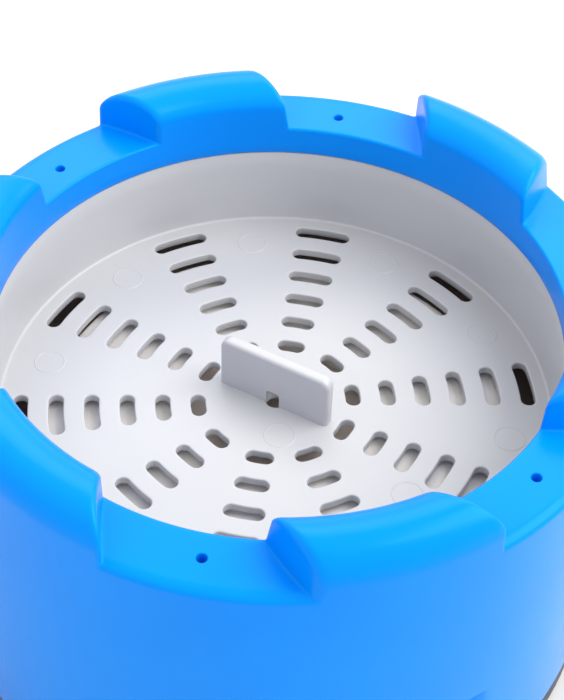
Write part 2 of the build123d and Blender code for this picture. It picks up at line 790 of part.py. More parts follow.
# the rocker tips about a pin across its middle: at rest its lower half is pressed in
rocker_pivot_y = panel_y + 1.0
rocker_tip = 8.0
tip_cos, tip_sin = math.cos(math.radians(rocker_tip)), math.sin(math.radians(rocker_tip))
rocker_plane = Plane((switch_x, rocker_pivot_y, control_z), x_dir=(0, -tip_cos, -tip_sin), z_dir=(-1, 0, 0))
with BuildPart() as power_rocker:
    with BuildSketch(rocker_plane):
        with BuildLine():
            Polyline(
                (-3.2, -4.4),
                (-3.2, 4.4),
                (0, 7.6),
                (2.6, 7.6),
                (1.5, 0),
                (2.6, -7.6),
                (0, -7.6),
                close=True,
            )
        make_face()
    extrude(amount=5.0, both=True)
save(power_rocker.part, "power_rocker")

with BuildPart() as power_lamp:
    with BuildSketch(Plane.XZ.offset(-niche_y - wall_t - 4)):
        with Locations((led_x, led_z)):
            Circle(2.0)
    extrude(amount=wall_t + panel_t + 4.6)
    with BuildSketch(Plane.XZ.offset(-panel_y)):
        with Locations((led_x, led_z)):
            Circle(3.0)
    extrude(amount=0.8)
save(power_lamp.part, "power_lamp")

with BuildPart() as power_inlet:
    with BuildSketch(Plane.XZ.offset(-inlet_y)):
        with Locations((0, inlet_z)):
            Circle(7.5)
    extrude(amount=-1.4)
    with BuildSketch(Plane.XZ.offset(-inlet_y)):
        with Locations((0, inlet_z)):
            Circle(inlet_barrel_r)
    extrude(amount=14)
    with BuildSketch(Plane.XZ.offset(-inlet_y - 2)):
        with Locations((0, inlet_z)):
            Circle(2.9)
            Circle(1.0, mode=Mode.SUBTRACT)
    extrude(amount=12, mode=Mode.SUBTRACT)
save(power_inlet.part, "power_inlet")
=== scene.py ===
"""Looks of the tabletop pottery wheel: moulded housing, slotted dish, controls, studio and camera.

Lengths in the making functions are millimetres, turned into metres when a mesh is written.
"""

import json
import math

import bmesh
import bpy
from mathutils import Matrix, Vector


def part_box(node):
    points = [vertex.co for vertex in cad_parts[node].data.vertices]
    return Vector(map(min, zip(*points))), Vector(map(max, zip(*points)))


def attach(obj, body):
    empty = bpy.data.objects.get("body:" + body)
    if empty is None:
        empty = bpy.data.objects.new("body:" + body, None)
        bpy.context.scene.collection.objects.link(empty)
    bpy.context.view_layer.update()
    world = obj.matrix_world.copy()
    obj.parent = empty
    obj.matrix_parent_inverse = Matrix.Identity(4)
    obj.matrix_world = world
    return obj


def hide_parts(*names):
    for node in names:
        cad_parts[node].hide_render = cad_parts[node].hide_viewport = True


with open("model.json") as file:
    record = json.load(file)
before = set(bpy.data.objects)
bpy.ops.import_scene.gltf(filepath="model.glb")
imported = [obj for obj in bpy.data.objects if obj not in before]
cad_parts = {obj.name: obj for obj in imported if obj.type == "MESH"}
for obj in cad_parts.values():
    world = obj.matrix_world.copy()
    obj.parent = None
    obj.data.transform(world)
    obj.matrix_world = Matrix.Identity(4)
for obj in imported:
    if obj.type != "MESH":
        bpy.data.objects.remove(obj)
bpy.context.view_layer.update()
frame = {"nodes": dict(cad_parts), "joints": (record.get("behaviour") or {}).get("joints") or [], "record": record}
record = frame["record"]

MM = 0.001


def box_mm(node):
    """A CAD node's lowest and highest corners at rest, in mm."""
    return [Vector(p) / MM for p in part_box(node)]


# ---------------------------------------------------------------- sizes, from the frame where it has them
shell_low, shell_high = box_mm("housing_shell")
peg_mount = next(m for m in record["mounts"] if m["name"] == "accessory_holes")

# the housing: a wall and a rim with six merlons, a skirt that hangs into the dish, and two outer flats
RIM_OUTER, MERLON_TOP, SHELL_LOW_Z = shell_high.x, shell_high.z, shell_low.z
RIM_INNER = 90.0
NOTCH_Z = peg_mount["pos_m"][2] / MM
WALL = 2.6
SKIRT_Z, SKIRT_T = 118.6, 2.4  # its lower edge and its thickness
MERLONS = 6
MERLON_TURN = 360 // MERLONS
MERLON_FROM, MERLON_TO = 21.2, 50.7  # degrees at the bore
MERLON_FOOT = 1.1  # fillet where a merlon's end meets its notch
SKEW = 7.5  # degrees that a merlon's end leans across the rim
NICHE_Y, NICHE = 97.0, (17.0, 57.0)  # the control panel's flat: distance from the axis, and its two z
INLET_Y, INLET = 108.0, (26.0, 50.0)  # the same for the power inlet, at the back
FLATS = ((270, NICHE_Y), (90, INLET_Y))  # heading and distance of both

# the peg holes, one in each notch
PEG_CIRCLE = peg_mount["dims"]["pcd_mm"] / 2
PEG_R = peg_mount["dims"]["hole_r_mm"]
PEG_ANGLE = 11.5
PEG_DEPTH = 12.0
PEG_BOSS_T = 1.4  # wall of the boss round a hole
PEG_CHAMFER = 0.25

# the dish
FLOOR_Z, UNDER_Z = 88.0, 85.0  # top and underside of the slotted floor
PITCH = 11.54  # from one ring of slots to the next
FIRST_RING = 2.2  # pitches from the axis to the inmost ring
COLUMNS, RINGS = 10, 6
SLOT_HALF = 2.4  # half a slot's width
SLOT_LENGTH, SLOT_GROWTH = 9.5, 2.04  # length in the inmost ring, and what each further ring adds
SLOT_ROUND = 5.2  # the part of a slot's length that its two round ends take
SLOT_ALONG, SLOT_ACROSS = 16, 8  # mesh steps along and across a slot's cell
DRAIN_R = 3.25
DRAIN_NOTCH = 5.4  # height of the drain's arch through the foot of the key
DISH_R = 90.3
SHOULDER_Z = 118.25  # where the dish's wall turns outward, behind the skirt

# controls
DIAL_FROM, DIAL_STEP, DIAL_TICKS = -135, 27, 11  # degrees from straight up, clockwise for the user

CREASE = 40  # degrees from which an edge stays sharp


# ---------------------------------------------------------------- camera
def make_camera():
    """Looks down at the dish floor from the front, a little to the left, rolled by two degrees."""
    azimuth, elevation, roll = math.radians(-7.82), math.radians(45.51), math.radians(1.97)
    distance, aside, above = 49.655 * PITCH, 0.178 * PITCH, 1.4132 * PITCH
    level_back = math.cos(elevation)
    back = Vector((math.sin(azimuth) * level_back, -math.cos(azimuth) * level_back, math.sin(elevation)))
    level = Vector((math.cos(azimuth), math.sin(azimuth), 0))
    upward = back.cross(level)
    right = math.cos(roll) * level + math.sin(roll) * upward
    top = math.cos(roll) * upward - math.sin(roll) * level
    place = (back * distance + right * aside + top * above + Vector((0, 0, FLOOR_Z))) * MM
    data = bpy.data.cameras.new("camera")
    data.sensor_width = 36
    data.lens = 90.1
    data.clip_start = 0.01
    cam = bpy.data.objects.new("camera", data)
    cam.matrix_world = Matrix((right, top, back)).transposed().to_4x4()
    cam.matrix_world.translation = place
    bpy.context.collection.objects.link(cam)
    bpy.context.scene.camera = cam


make_camera()


# ---------------------------------------------------------------- mesh helpers
def polar(radius, degrees, z=0.0):
    """The point at a radius and a heading, 0 degrees being +X."""
    turn = math.radians(degrees)
    return Vector((radius * math.cos(turn), radius * math.sin(turn), z))


def quarter(steps):
    """(cos, sin) at even steps round a quarter circle."""
    turns = [math.radians(90 * i / steps) for i in range(steps + 1)]
    return [(math.cos(t), math.sin(t)) for t in turns]


def close_seams(bm):
    """Join the points that coincide (mm), and turn every face outward."""
    bmesh.ops.remove_doubles(bm, verts=bm.verts, dist=0.002)
    bmesh.ops.recalc_face_normals(bm, faces=bm.faces)


def add_grid(bm, rows, wrap_rows=True, wrap_columns=True):
    """Faces between rows of points (mm). Rows follow each other; wrapping joins last to first."""
    verts = [[bm.verts.new(p) for p in row] for row in rows]
    n, m = len(verts), len(verts[0])
    for i in range(n if wrap_rows else n - 1):
        for j in range(m if wrap_columns else m - 1):
            a, b = verts[i], verts[(i + 1) % n]
            bm.faces.new((a[j], a[(j + 1) % m], b[(j + 1) % m], b[j]))
    return verts


def add_lathe(bm, profile, segments, centre=(0, 0), close=True):
    """An outline of (radius, z) turned about a vertical axis. close joins its last point to its first."""
    turns = [360 * j / segments for j in range(segments)]
    rows = [[polar(r, a, z) + Vector((*centre, 0)) for a in turns] for r, z in profile]
    add_grid(bm, rows, wrap_rows=close)


def shade(bm, crease):
    """Smooth everywhere except across edges sharper than the crease angle."""
    bm.normal_update()
    limit = math.radians(crease)
    for face in bm.faces:
        face.smooth = True
    for edge in bm.edges:
        edge.smooth = len(edge.link_faces) != 2 or edge.calc_face_angle(0) < limit


def make_object(name, bm, crease=CREASE):
    """Write a mesh in mm as an object in metres."""
    shade(bm, crease)
    mesh = bpy.data.meshes.new(name)
    bmesh.ops.scale(bm, vec=(MM, MM, MM), verts=bm.verts)
    bm.to_mesh(mesh)
    bm.free()
    obj = bpy.data.objects.new(name, mesh)
    bpy.context.collection.objects.link(obj)
    return obj


def cut(obj, cutter, operation="DIFFERENCE"):
    """Apply an exact boolean and throw the cutter away."""
    modifier = obj.modifiers.new("cut", "BOOLEAN")
    modifier.operation = operation
    modifier.object = cutter
    modifier.solver = "EXACT"
    depsgraph = bpy.context.evaluated_depsgraph_get()
    mesh = bpy.data.meshes.new_from_object(obj.evaluated_get(depsgraph))
    obj.modifiers.clear()
    obj.data = mesh
    bpy.data.objects.remove(cutter)


def crease_again(obj):
    """Clean and shade a finished mesh, in metres, once more after its booleans."""
    bm = bmesh.new()
    bm.from_mesh(obj.data)
    bmesh.ops.remove_doubles(bm, verts=bm.verts, dist=0.002 * MM)
    shade(bm, CREASE)
    bm.to_mesh(obj.data)
    bm.free()


def settle(obj, body, slot, material, *nodes):
    """Give a piece its body and material, and hide the CAD nodes that it stands for. slot is not used."""
    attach(obj, body)
    obj.data.materials.clear()
    obj.data.materials.append(material)
    if nodes:
        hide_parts(*nodes)


# ---------------------------------------------------------------- materials
def new_material(name):
    material = bpy.data.materials.new(name)
    material.use_nodes = True
    nodes = material.node_tree.nodes
    return material, nodes, material.node_tree.links, nodes["Principled BSDF"]


def noise(nodes, links, scale, detail=3.0, stretch=(1, 1, 1)):
    """Noise in object space, in metres, so it stays put on the piece."""
    where = nodes.new("ShaderNodeTexCoord")
    mapping = nodes.new("ShaderNodeMapping")
    mapping.inputs["Scale"].default_value = stretch
    texture = nodes.new("ShaderNodeTexNoise")
    texture.inputs["Scale"].default_value = scale
    texture.inputs["Detail"].default_value = detail
    links.new(where.outputs["Object"], mapping.inputs["Vector"])
    links.new(mapping.outputs["Vector"], texture.inputs["Vector"])
    return texture.outputs["Fac"]


def between(nodes, links, factor, low, high, where, blend=(0.3, 0.7)):
    """Drive a socket from one colour or number to another, as the factor crosses the two of blend."""
    ramp = nodes.new("ShaderNodeValToRGB")
    as_colour = isinstance(low, (tuple, list))
    ramp.color_ramp.elements[0].position, ramp.color_ramp.elements[1].position = blend
    ramp.color_ramp.elements[0].color = (*low, 1) if as_colour else (low, low, low, 1)
    ramp.color_ramp.elements[1].color = (*high, 1) if as_colour else (high, high, high, 1)
    links.new(factor, ramp.inputs["Fac"])
    links.new(ramp.outputs["Color"], where)


def add_bump(nodes, links, shader, layers):
    """Stack noise bumps, each (scale, detail, height in mm)."""
    previous = None
    for scale, detail, height in layers:
        bump = nodes.new("ShaderNodeBump")
        bump.inputs["Strength"].default_value = 1.0
        bump.inputs["Distance"].default_value = height * MM
        links.new(noise(nodes, links, scale, detail), bump.inputs["Height"])
        if previous:
            links.new(previous.outputs["Normal"], bump.inputs["Normal"])
        previous = bump
    links.new(previous.outputs["Normal"], shader.inputs["Normal"])


def moulded(name, dark, light, rough=(0.25, 0.32), cloud=18, bumps=((900, 2, 0.004),), **sockets):
    """Injection-moulded plastic: slow colour drift, uneven gloss and a fine skin."""
    material, nodes, links, shader = new_material(name)
    between(nodes, links, noise(nodes, links, cloud), dark, light, shader.inputs["Base Color"])
    between(nodes, links, noise(nodes, links, cloud * 7, 4), *rough, shader.inputs["Roughness"])
    add_bump(nodes, links, shader, bumps)
    for socket, value in sockets.items():
        shader.inputs[socket.replace("_", " ")].default_value = value
    return material


def metal(name, dark, light, rough=(0.25, 0.4), grain=(1, 1, 1), bump=0.004):
    """Bare or plated metal; grain stretches its streaks, and bump is their height in mm."""
    material, nodes, links, shader = new_material(name)
    shader.inputs["Metallic"].default_value = 1.0
    streak = noise(nodes, links, 400, 4, grain)
    between(nodes, links, streak, dark, light, shader.inputs["Base Color"])
    between(nodes, links, noise(nodes, links, 60, 4), *rough, shader.inputs["Roughness"])
    relief = nodes.new("ShaderNodeBump")
    relief.inputs["Distance"].default_value = bump * MM
    links.new(streak, relief.inputs["Height"])
    links.new(relief.outputs["Normal"], shader.inputs["Normal"])
    return material


def glow_lens(name, colour):
    """Clear coloured plastic."""
    material, nodes, links, shader = new_material(name)
    darker = tuple(0.8 * c for c in colour)
    between(nodes, links, noise(nodes, links, 300), colour, darker, shader.inputs["Base Color"])
    shader.inputs["Roughness"].default_value = 0.12
    shader.inputs["Transmission Weight"].default_value = 0.4
    return material


MATERIALS = {
    "blue_shell": moulded(
        "blue_shell",
        (0.0, 0.235, 0.85),
        (0.0, 0.255, 0.88),
        rough=(0.2, 0.27),
        bumps=((700, 2, 0.003), (60, 2, 0.01)),
        Specular_IOR_Level=0.2,
        Specular_Tint=(0.25, 0.8, 1.0, 1.0),
    ),
    "white_dish": moulded(
        "white_dish",
        (0.505, 0.503, 0.508),
        (0.525, 0.523, 0.528),
        rough=(0.36, 0.44),
        bumps=((1200, 2, 0.004),),
    ),
    # painted light: the platter under the dish is painted lighter than the white dish above it, standing in for
    # the light that falls on it through the slots
    "platter_plastic": moulded(
        "platter_plastic",
        (0.80, 0.775, 0.76),
        (0.86, 0.83, 0.81),
        rough=(0.45, 0.55),
        bumps=((800, 3, 0.01),),
    ),
    "charcoal_plastic": moulded(
        "charcoal_plastic",
        (0.028, 0.03, 0.034),
        (0.04, 0.042, 0.047),
        rough=(0.45, 0.6),
        bumps=((1500, 4, 0.03),),
    ),
    "black_plastic": moulded(
        "black_plastic",
        (0.011, 0.010, 0.010),
        (0.018, 0.017, 0.017),
        rough=(0.4, 0.55),
        bumps=((1200, 3, 0.015),),
    ),
    "grey_panel": moulded(
        "grey_panel",
        (0.42, 0.43, 0.45),
        (0.46, 0.47, 0.49),
        rough=(0.42, 0.5),
        bumps=((2500, 3, 0.012),),
    ),
    "knob_plastic": moulded("knob_plastic", (0.53, 0.53, 0.545), (0.57, 0.57, 0.58), rough=(0.25, 0.34)),
    "rocker_plastic": moulded(
        "rocker_plastic", (0.012, 0.012, 0.014), (0.02, 0.02, 0.022), rough=(0.15, 0.25)
    ),
    "sensor_plastic": moulded("sensor_plastic", (0.02, 0.06, 0.16), (0.03, 0.08, 0.2), rough=(0.35, 0.5)),
    "circuit_board": moulded(
        "circuit_board", (0.01, 0.14, 0.05), (0.015, 0.2, 0.07), rough=(0.3, 0.45), cloud=200
    ),
    "rubber": moulded(
        "rubber",
        (0.018, 0.018, 0.018),
        (0.035, 0.034, 0.033),
        rough=(0.75, 0.9),
        bumps=((1800, 5, 0.05),),
    ),
    "belt_rubber": moulded(
        "belt_rubber",
        (0.015, 0.015, 0.015),
        (0.03, 0.03, 0.03),
        rough=(0.65, 0.85),
        bumps=((1200, 4, 0.04),),
    ),
    # painted light: the hub is painted much lighter than bare metal, standing in for the light that reaches it
    # through the slots and the drain hole
    "hub_metal": moulded(
        "hub_metal",
        (0.72, 0.63, 0.57),
        (0.84, 0.75, 0.69),
        rough=(0.5, 0.7),
        cloud=90,
        bumps=((500, 5, 0.08),),
    ),
    "magnet": moulded(
        "magnet", (0.03, 0.03, 0.03), (0.05, 0.05, 0.05), rough=(0.6, 0.8), bumps=((900, 4, 0.03),)
    ),
    "zinc_screw": metal("zinc_screw", (0.55, 0.56, 0.58), (0.68, 0.69, 0.70)),
    "bearing_steel": metal("bearing_steel", (0.5, 0.51, 0.53), (0.62, 0.63, 0.65), rough=(0.12, 0.25)),
    "motor_steel": metal("motor_steel", (0.42, 0.43, 0.45), (0.54, 0.55, 0.57), grain=(1, 1, 12)),
    "cast_alloy": metal("cast_alloy", (0.48, 0.49, 0.5), (0.6, 0.61, 0.62), rough=(0.4, 0.6), bump=0.03),
    "pulley_brass": metal("pulley_brass", (0.6, 0.42, 0.16), (0.75, 0.55, 0.24), grain=(1, 1, 20)),
    "lamp_lens": glow_lens("lamp_lens", (0.1, 0.75, 0.2)),
}
PRINT = moulded("panel_print", (0.02, 0.06, 0.16), (0.03, 0.08, 0.2), rough=(0.5, 0.6))
WHITE_PRINT = moulded("rocker_print", (0.75, 0.75, 0.75), (0.82, 0.82, 0.82), rough=(0.5, 0.6))
# the catch pan is lighter than its slot, because hardly any light reaches it through the dish's slots
PAN_PLASTIC = moulded("pan_plastic", (0.42, 0.34, 0.32), (0.50, 0.41, 0.39), rough=(0.35, 0.5))


def dress_cad_nodes():
    """Every CAD node gets the detailed material of its slot, but for the catch pan."""
    for part in record["subparts"]:
        obj = frame["nodes"][part["node"]]
        material = PAN_PLASTIC if part["node"] == "catch_pan" else MATERIALS[part["material_slot"]]
        obj.data.materials.clear()
        obj.data.materials.append(material)


# ---------------------------------------------------------------- housing
def merlon_end(draft, crown):
    """One end of a merlon, as (mm in from its foot, share of its height): fillet, face and crown."""
    height, foot = MERLON_TOP - NOTCH_Z, MERLON_FOOT
    end = [(-foot + foot * s, foot * (1 - c)) for c, s in quarter(5)]
    end += [(draft * t, foot + (height - crown - foot) * t) for t in (0.25, 0.5, 0.75)]
    end += [(draft + crown * (1 - c), height - crown + crown * s) for c, s in quarter(8)]
    return [(along, up / height) for along, up in end]


def rim_columns():
    """Columns of the housing's mesh, in order round it: degrees at the bore, share of a merlon's
    height, and 1 or -1 on a merlon's first or last end, 0 elsewhere."""
    per_mm = 57.3 / ((RIM_INNER + RIM_OUTER) / 2)  # degrees that a mm takes along the rim's middle
    first_end, last_end = merlon_end(draft=1.4, crown=3.0), merlon_end(draft=0.2, crown=2.4)
    top_gap, notch_gap = 2.2, 1.5  # from an end to the next column: mm on top, degrees in a notch
    first_top = MERLON_FROM + (first_end[-1][0] + top_gap) * per_mm
    last_top = MERLON_TO - (last_end[-1][0] + top_gap) * per_mm
    notch = (MERLON_TO + notch_gap, MERLON_FROM + MERLON_TURN - notch_gap)
    spans = ((first_top, last_top, 1), (*notch, 0))
    steps = 16
    columns = []
    for i in range(MERLONS):
        turn = MERLON_TURN * i
        columns += [(turn + MERLON_FROM + along * per_mm, up, 1) for along, up in first_end]
        columns += [(turn + MERLON_TO - along * per_mm, up, -1) for along, up in last_end]
        for first, last, up in spans:
            columns += [(turn + first + (last - first) * k / steps, up, 0) for k in range(steps + 1)]
    columns = [(heading % 360, up, end) for heading, up, end in columns]
    # one column where each flat begins on the outside, which the rim's skew puts earlier at the bore
    past_foot = 0.06  # degrees, because the corner rounding shifts the columns of a merlon's end
    for middle, flat in FLATS:
        half = math.degrees(math.acos(flat / RIM_OUTER))
        for heading in (middle - half, middle + half):
            at = (heading - SKEW) % 360
            near = min(columns, key=lambda column: abs(column[0] - at))
            if near[2] == 0:
                columns.remove(near)
            else:
                at = near[0] - past_foot * near[2]
            columns.append((at, near[1], 0))
    return sorted(columns)


def pocket_depth(heading, middle, flat, outer):
    """How far a flat at that distance from the axis lies inside the round wall, at a heading."""
    off = (heading - middle + 180) % 360 - 180
    if abs(off) > 60:  # both flats are narrower than this
        return 0.0
    return max(0.0, outer - flat / math.cos(math.radians(off)))


def pocket_rows(low, high, lip, depth):
    """Rows of a pocket from above its top ledge to below its bottom one: (z, share of the depth)."""
    share = lip / depth
    draft = 0.3
    rows = [(high + lip * (1 - s), share * (1 - c)) for c, s in quarter(4)]
    rows += [(high - draft / 2, 0.5), (high - draft, 1 - share)]
    rows += [(high - draft - lip * (1 - c), 1 - share * (1 - s)) for c, s in quarter(3)][1:]
    middle = (low + high) / 2
    return rows + [(middle, 1.0)] + [(2 * middle - z, f) for z, f in reversed(rows)]


def housing_section():
    """The housing's section as rows: (radius, z) in a notch, (radius, z) on a merlon, and the shares
    of the niche's, the inlet's and the inner flats' depth. They go up the bore, over the rim, down the
    outside and up the inside."""
    rows = []

    def both(r, z, niche=0.0, inlet=0.0, inner=0.0):
        rows.append(((r, z), (r, z), niche, inlet, inner))

    lip, edge = 0.35, 0.9
    crest_r, in_deep, out_deep = RIM_INNER + 11.0, 6.8, 10.3  # the merlon is one arch over the rim
    notch_wide, notch_deep = 3.6, 2.4  # rounding of a notch's outer edge
    spread_in, spread_out = 0.5, 1.5  # height in a notch over which the walls of a merlon are gathered
    both(RIM_INNER + lip, SKIRT_Z)
    both(RIM_INNER + lip * 0.3, SKIRT_Z + lip * 0.3)
    both(RIM_INNER, SKIRT_Z + lip)
    both(RIM_INNER, SKIRT_Z + 4)
    both(RIM_INNER, NOTCH_Z - edge - spread_in - 0.1)
    base, arch_foot = NOTCH_Z - edge - spread_in, MERLON_TOP - in_deep
    for k in range(5):
        t = k / 4
        low, high = base + spread_in * t, base + (arch_foot - base) * t
        rows.append(((RIM_INNER, low), (RIM_INNER, high), 0, 0, 0))
    in_wide, out_wide = crest_r - RIM_INNER, RIM_OUTER - crest_r
    arch = [(crest_r - in_wide * c, MERLON_TOP - in_deep * (1 - s)) for c, s in quarter(18)][1:]
    outer = reversed(quarter(22)[:-1])
    arch += [(crest_r + out_wide * c, MERLON_TOP - out_deep * (1 - s)) for c, s in outer]
    flat = [(RIM_INNER + edge * (1 - c), NOTCH_Z - edge + edge * s) for c, s in quarter(8)][1:]
    rounding = quarter(12)
    rounding = [(RIM_OUTER - notch_wide * (1 - s), NOTCH_Z - notch_deep * (1 - c)) for c, s in rounding]
    steps = len(arch) - len(flat) - len(rounding) + 1
    start, stop = flat[-1][0], rounding[0][0]
    flat += [(start + (stop - start) * k / steps, NOTCH_Z) for k in range(1, steps)]
    rows += [(low, high, 0, 0, 0) for low, high in zip(flat + rounding, arch)]
    top, arch_foot = NOTCH_Z - notch_deep, MERLON_TOP - out_deep
    for k in range(1, 5):
        t = k / 4
        low, high = top - spread_out * t, arch_foot + (top - spread_out - arch_foot) * t
        rows.append(((RIM_OUTER, low), (RIM_OUTER, high), 0, 0, 0))

    # the outside wall: the inlet's rows lie between the upper and the lower ledge of the niche
    niche_rows = pocket_rows(*NICHE, 0.8, RIM_OUTER - NICHE_Y)
    inlet_rows = pocket_rows(*INLET, 0.3, RIM_OUTER - INLET_Y)
    outside = [(z, 0.0, 0.0) for z in (112, 98, 84, 70, 62)]
    outside += [(z, share, 0.0) for z, share in niche_rows if z > 55 or (z > 50.5 and share < 1)]
    outside += [(z, 1.0, share) for z, share in inlet_rows]
    outside += [(z, share, 0.0) for z, share in niche_rows if z < 25] + [(14.5, 0.0, 0.0)]
    for z, niche, inlet in outside:
        both(RIM_OUTER, z, niche, inlet)
    foot = 0.6
    for c, s in quarter(3):
        both(RIM_OUTER - foot * (1 - c), SHELL_LOW_Z + foot * (1 - s))

    # the inside wall, flat behind the niche and the inlet
    inside, ceiling = RIM_OUTER - WALL, NOTCH_Z - WALL
    both(inside, SHELL_LOW_Z)
    for z, share in ((13.9, 0), (14.4, 1), (36, 1), (59.6, 1), (60.1, 0), (90, 0), (ceiling, 0)):
        both(inside, z, inner=share)
    both(RIM_INNER + SKIRT_T, ceiling)
    both(RIM_INNER + SKIRT_T, SKIRT_Z + lip)
    both(RIM_INNER + SKIRT_T - lip * 0.3, SKIRT_Z + lip * 0.3)
    both(RIM_INNER + SKIRT_T - lip, SKIRT_Z)
    return rows


OPENINGS = (  # node that passes a flat, y where its cutter sits, half width and half height
    ("sensor_shaft", -NICHE_Y, 3.7, 3.7),
    ("power_lamp", -NICHE_Y, 2.1, 2.1),
    ("switch_body", -NICHE_Y, 6.7, 9.7),
    ("power_inlet", INLET_Y - 3, 5.6, 5.6),
)


def wall_cutter(node, y, half_width, half_height):
    """Cutter through a flat where a node passes it: round if its two half sizes are the same."""
    low, high = box_mm(node)
    back, front = -4, 1  # how far it reaches from there towards +Y and towards -Y
    bm = bmesh.new()
    if half_width == half_height:
        add_lathe(bm, [(0, back), (half_width, back), (half_width, front), (0, front)], 40)
    else:
        corners = [(-half_width, -half_height), (half_width, -half_height), (half_width, half_height)]
        corners.append((-half_width, half_height))
        rows = [[Vector((*corner, z)) for corner in corners] for z in (back, front)]
        verts = add_grid(bm, rows, wrap_rows=False)
        for row in verts:
            bm.faces.new(row)
    close_seams(bm)
    centre = ((low.x + high.x) / 2, y, (low.z + high.z) / 2)
    bmesh.ops.transform(bm, matrix=facing(centre), verts=bm.verts)
    return make_object("wall_cutter", bm)


def housing_point(column, notch, merlon, niche, inlet, inner):
    """Where a column and a row of the section cross."""
    corners = 1.3, 1.8  # rounding of a merlon's upright corners at the inner and the outer wall
    heading, up, end = column
    r = notch[0] + (merlon[0] - notch[0]) * up
    z = notch[1] + (merlon[1] - notch[1]) * up
    heading += SKEW * min(1.0, max(0.0, (r - RIM_INNER) / (RIM_OUTER - RIM_INNER)))
    for gap, radius in zip((r - RIM_INNER, RIM_OUTER - r), corners):
        near = 1 - min(1.0, max(0.0, gap) / radius)
        heading += end * math.degrees(radius * (1 - math.sqrt(1 - near * near)) / r)
    for share, (middle, flat) in zip((niche, inlet), FLATS):
        r -= share * pocket_depth(heading, middle, flat, RIM_OUTER)
    for middle, flat in FLATS:
        r -= inner * pocket_depth(heading, middle, flat - WALL, RIM_OUTER - WALL)
    return polar(r, heading, z)


def add_peg_holes(body):
    """A boss under each notch, and the blind hole in it."""
    bosses, holes = bmesh.new(), bmesh.new()
    boss_r, top, foot = PEG_R + PEG_BOSS_T, NOTCH_Z - 1.0, NOTCH_Z - PEG_DEPTH - 2.0
    boss = [(0, top), (boss_r, top), (boss_r, foot + 0.5), (boss_r - 0.5, foot), (0, foot)]
    clear = 2  # how far the cutter stands above the notch, at the slope of the chamfer
    hole = [(0, NOTCH_Z + clear), (PEG_R + PEG_CHAMFER + clear, NOTCH_Z + clear)]
    hole += [(PEG_R, NOTCH_Z - PEG_CHAMFER), (PEG_R, NOTCH_Z - PEG_DEPTH), (0, NOTCH_Z - PEG_DEPTH)]
    for i in range(MERLONS):
        spot = polar(PEG_CIRCLE, PEG_ANGLE + MERLON_TURN * i)
        add_lathe(bosses, boss, 32, (spot.x, spot.y))
        add_lathe(holes, hole, 32, (spot.x, spot.y))
    close_seams(bosses)
    close_seams(holes)
    cut(body, make_object("bosses", bosses), "UNION")
    cut(body, make_object("holes", holes))


def make_housing():
    """One moulding: wall, rim, six skewed merlons, skirt, peg holes, control niche and inlet flat."""
    columns = rim_columns()
    bm = bmesh.new()
    add_grid(bm, [[housing_point(column, *row) for column in columns] for row in housing_section()])
    close_seams(bm)
    body = make_object("housing_body", bm)
    add_peg_holes(body)
    for opening in OPENINGS:
        cut(body, wall_cutter(*opening))
    crease_again(body)
    settle(body, "housing", "blue_shell", MATERIALS["blue_shell"], "housing_shell")


# ---------------------------------------------------------------- dish
def slot_outline(half_straight, half_width):
    """Points round a slot, as many on each side as on its cell: two long sides, two ends."""
    along, across = SLOT_ALONG, SLOT_ACROSS
    corner, bend = math.pi / 4, along // 4
    points = []
    for k in range(along):  # inner side, from left to right
        if k < bend:
            turn = -math.pi / 2 - corner * (bend - k) / bend
            points.append((-half_straight + half_width * math.cos(turn), half_width * math.sin(turn)))
        elif k <= along - bend:
            share = (k - bend) / (along - 2 * bend)
            points.append((half_straight * (2 * share - 1), -half_width))
        else:
            turn = -math.pi / 2 + corner * (k - along + bend) / bend
            points.append((half_straight + half_width * math.cos(turn), half_width * math.sin(turn)))
    for k in range(across):  # right end
        turn = -corner + 2 * corner * k / across
        points.append((half_straight + half_width * math.cos(turn), half_width * math.sin(turn)))
    return points + [(-x, -y) for x, y in points]


def slot_cell(bm, ring, column):
    """One slot with the floor round it: top face, rounded lips, walls and underside."""
    along, across = SLOT_ALONG, SLOT_ACROSS
    radius = (FIRST_RING + ring) * PITCH
    length = SLOT_LENGTH + SLOT_GROWTH * ring
    centre, half_turn = 360 / COLUMNS * column, 180 / COLUMNS
    r0, r1 = radius - PITCH / 2, radius + PITCH / 2
    border = [(r0, centre - half_turn + 2 * half_turn * k / along) for k in range(along)]
    border += [(r0 + PITCH * k / across, centre + half_turn) for k in range(across)]
    border += [(r1, centre + half_turn - 2 * half_turn * k / along) for k in range(along)]
    border += [(r1 - PITCH * k / across, centre - half_turn) for k in range(across)]

    def outline(grow, z):
        flat = slot_outline((length - SLOT_ROUND) / 2, SLOT_HALF + grow)
        return [polar(radius + y, centre + math.degrees(x / radius), z) for x, y in flat]

    lip, under_lip = 0.45, 0.25
    rows = [[polar(r, a, FLOOR_Z) for r, a in border]]
    rim = outline(lip + 0.5, FLOOR_Z)
    rows.append([0.5 * (a + b) for a, b in zip(rows[0], rim)])
    rows.append(rim)
    rows += [outline(lip * (1 - s), FLOOR_Z - lip * (1 - c)) for c, s in quarter(4)]
    rows += [outline(under_lip * (1 - c), UNDER_Z + under_lip * (1 - s)) for c, s in quarter(2)]
    rows.append([polar(r, a, UNDER_Z) for r, a in border])
    add_grid(bm, rows, wrap_rows=False)


